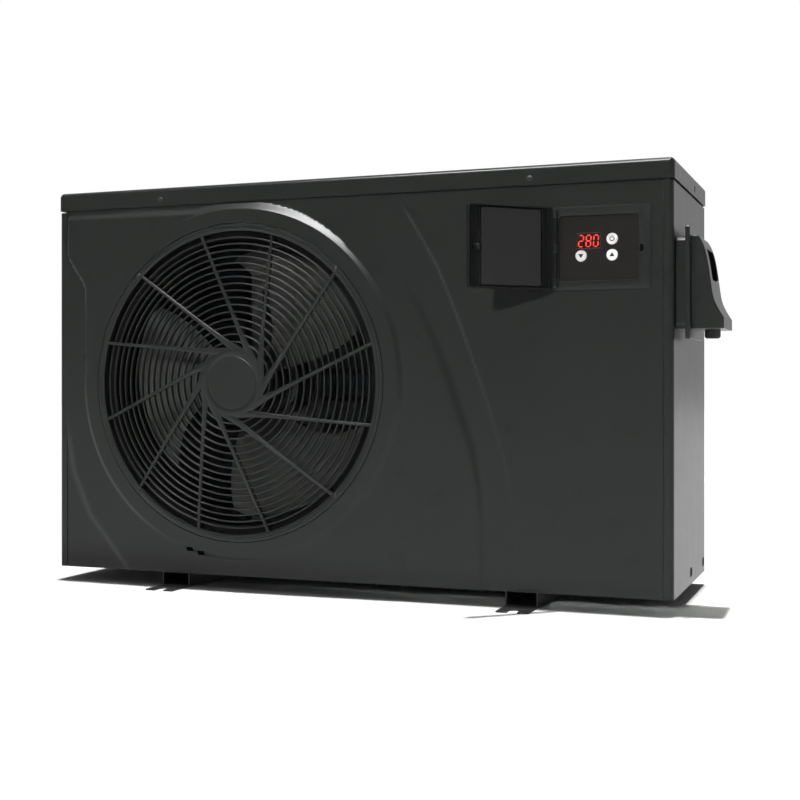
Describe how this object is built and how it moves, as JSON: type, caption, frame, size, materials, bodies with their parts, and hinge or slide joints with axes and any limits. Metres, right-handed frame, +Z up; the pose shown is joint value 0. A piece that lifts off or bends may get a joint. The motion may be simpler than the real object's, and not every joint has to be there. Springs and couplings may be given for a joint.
{
  "type": "heat pump unit",
  "caption": "Pool heat pump: charcoal cabinet with a round fan grille, control panel under an open hinged door, side cable cover, rear water unions and steel feet.",
  "frame": {"origin": "on the ground, under the middle of the whole unit's box, door as stored", "axes": "+X to the right seen from the front, +Y from the front to the back, +Z up"},
  "size_m": [1.0638, 0.466, 0.632],
  "materials": {
    "panel_charcoal": "satin moulded charcoal",
    "moulding_dark": "satin moulded near-black",
    "steel_black": "black powder coat",
    "galvanised_steel": "galvanised sheet",
    "copper_pipe": "drawn copper tube",
    "brass_valve": "machined brass",
    "fin_aluminium": "bare fin stock",
    "screw_black": "blackened zinc",
    "fan_plastic": "glass-filled grey plastic",
    "rubber_black": "moulded rubber",
    "enamel_black": "gloss black enamel",
    "water_plastic": "grey pressure-pipe plastic",
    "circuit_board": "green solder mask",
    "display_plate": "dark brown overlay",
    "button_white": "white moulded",
    "bright_steel": "ground steel"
  },
  "bodies": {
    "root": {"accumulator": "enamel_black", "base_pan": "steel_black", "cable_cover_base": "panel_charcoal", "cable_cover_hood": "panel_charcoal", "cable_gland": "rubber_black", "coil_header": "copper_pipe", "coil_pipe": "copper_pipe", "compressor": "enamel_black", "compressor_grommet_1": "rubber_black", "compressor_grommet_2": "rubber_black", "compressor_grommet_3": "rubber_black", "control_board": "circuit_board", "control_frame": "panel_charcoal", "control_pcb": "circuit_board", "cover_screw_left": "screw_black", "cover_screw_right": "screw_black", "discharge_pipe": "copper_pipe", "display_plate": "display_plate", "distributor_pipe": "copper_pipe", "door_hinge_pin": "bright_steel", "drain_nozzle": "moulding_dark", "electrical_box": "galvanised_steel", "evaporator_end_plate": "galvanised_steel", "evaporator_fins": "fin_aluminium", "expansion_valve": "brass_valve", "fan_grille": "moulding_dark", "fan_motor": "galvanised_steel", "fan_shroud": "moulding_dark", "foot_left": "steel_black", "foot_right": "steel_black", "four_way_valve": "brass_valve", "front_panel": "panel_charcoal", "gas_pipe": "copper_pipe", "grille_screw_1": "screw_black", "grille_screw_2": "screw_black", "grille_screw_3": "screw_black", "grille_screw_4": "screw_black", "heat_exchanger": "water_plastic", "inlet_union_nut": "moulding_dark", "left_panel": "panel_charcoal", "liquid_pipe": "copper_pipe", "motor_bracket": "galvanised_steel", "outlet_union_nut": "moulding_dark", "partition": "galvanised_steel", "rear_guard": "moulding_dark", "rear_panel": "panel_charcoal", "right_panel": "panel_charcoal", "suction_pipe": "copper_pipe", "terminal_block": "rubber_black", "top_cover": "panel_charcoal", "water_inlet_pipe": "water_plastic", "water_outlet_pipe": "water_plastic"},
    "fan": {"fan_shaft": "bright_steel", "fan_rotor": "fan_plastic", "fan_nut": "screw_black"},
    "door": {"control_door": "panel_charcoal"},
    "catch": {"door_catch": "moulding_dark"},
    "power_key": {"power_button": "button_white"},
    "up_key": {"up_button": "button_white"},
    "down_key": {"down_button": "button_white"}
  },
  "joints": [
    {"name": "fan_spin", "type": "hinge", "parent": "root", "child": "fan", "pos_m": [-0.2049, -0.06995, 0.322], "axis": [0, 1, 0], "continuous": true},
    {"name": "door_hinge", "type": "hinge", "parent": "root", "child": "door", "pos_m": [0.3016, -0.14045, 0.5105], "axis": [0, 0, 1], "range_deg": [-12, 138]},
    {"name": "catch_turn", "type": "hinge", "parent": "door", "child": "catch", "pos_m": [0.21079, -0.22222, 0.5105], "axis": [-0.6691, 0.7431, 0], "range_deg": [0, 90]},
    {"name": "power_press", "type": "slide", "parent": "root", "child": "power_key", "axis": [0, 1, 0], "range_m": [0, 0.0008], "stiffness_N_per_m": 1500},
    {"name": "up_press", "type": "slide", "parent": "root", "child": "up_key", "axis": [0, 1, 0], "range_m": [0, 0.0008], "stiffness_N_per_m": 1500},
    {"name": "down_press", "type": "slide", "parent": "root", "child": "down_key", "axis": [0, 1, 0], "range_m": [0, 0.0008], "stiffness_N_per_m": 1500}
  ]
}
